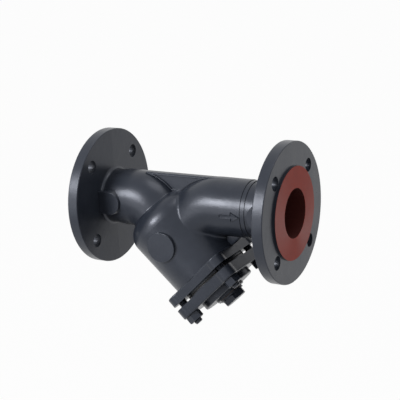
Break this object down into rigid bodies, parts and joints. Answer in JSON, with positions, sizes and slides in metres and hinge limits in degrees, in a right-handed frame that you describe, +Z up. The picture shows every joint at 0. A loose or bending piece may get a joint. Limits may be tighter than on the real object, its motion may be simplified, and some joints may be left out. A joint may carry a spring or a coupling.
{
  "type": "flanged y strainer",
  "caption": "Flanged Y-pattern mesh strainer: cast body with a slanted leg, bolted lobed cover, drain plug and a draw-out perforated screen with mesh lining.",
  "frame": {"origin": "centre of the inlet raised face, on the axis of the pipe run", "axes": "+X along the pipe run from inlet to outlet, +Z up, the strainer leg in the plane Y = 0 pointing down and towards the outlet"},
  "size_m": [0.29, 0.185, 0.2478],
  "materials": {
    "casting_paint": "satin dark blue-grey paint on cast iron",
    "cover_paint": "satin dark blue-grey paint on cast iron",
    "plug_paint": "satin dark paint on steel",
    "fastener_paint": "dark paint over zinc-plated steel",
    "gasket_fibre": "dark compressed fibre and graphite sheet",
    "seal_fibre": "red-brown fibre ring",
    "screen_steel": "plain stainless steel",
    "mesh_wire": "woven stainless steel wire"
  },
  "bodies": {
    "casting": {"body": "casting_paint", "stud_1": "fastener_paint", "stud_2": "fastener_paint", "stud_3": "fastener_paint", "stud_4": "fastener_paint"},
    "cover": {"cover": "cover_paint", "cover_gasket": "gasket_fibre"},
    "screen": {"screen_upper_ring": "screen_steel", "screen_lower_ring": "screen_steel", "screen_sleeve": "screen_steel", "screen_mesh": "mesh_wire"},
    "plug_seal": {"plug_seal": "seal_fibre"},
    "drain_plug": {"drain_plug": "plug_paint"},
    "nut_1": {"nut_1": "fastener_paint"},
    "nut_2": {"nut_2": "fastener_paint"},
    "nut_3": {"nut_3": "fastener_paint"},
    "nut_4": {"nut_4": "fastener_paint"}
  },
  "joints": [
    {"name": "cover_draw", "type": "slide", "parent": "casting", "child": "cover", "axis": [0.7071, 0, -0.7071], "range_m": [0, 0.2]},
    {"name": "screen_draw", "type": "slide", "parent": "casting", "child": "screen", "axis": [0.7071, 0, -0.7071], "range_m": [0, 0.14]},
    {"name": "seal_lift", "type": "slide", "parent": "cover", "child": "plug_seal", "axis": [0.7071, 0, -0.7071], "range_m": [0, 0.0125]},
    {"name": "plug_unscrew", "type": "hinge", "parent": "plug_seal", "child": "drain_plug", "pos_m": [0.19695, 0, -0.12445], "axis": [0.7071, 0, -0.7071], "range_deg": [0, 2380]},
    {"name": "nut_1_run_off", "type": "slide", "parent": "cover", "child": "nut_1", "axis": [0.7071, 0, -0.7071], "range_m": [0, 0.018]},
    {"name": "nut_2_run_off", "type": "slide", "parent": "cover", "child": "nut_2", "axis": [0.7071, 0, -0.7071], "range_m": [0, 0.018]},
    {"name": "nut_3_run_off", "type": "slide", "parent": "cover", "child": "nut_3", "axis": [0.7071, 0, -0.7071], "range_m": [0, 0.018]},
    {"name": "nut_4_run_off", "type": "slide", "parent": "cover", "child": "nut_4", "axis": [0.7071, 0, -0.7071], "range_m": [0, 0.018]}
  ],
  "couplings": [
    {"joint": "screen_draw", "follows": "cover_draw", "ratio": 0.7},
    {"joint": "seal_lift", "follows": "plug_unscrew", "m_per_rad": 0.00028871}
  ]
}
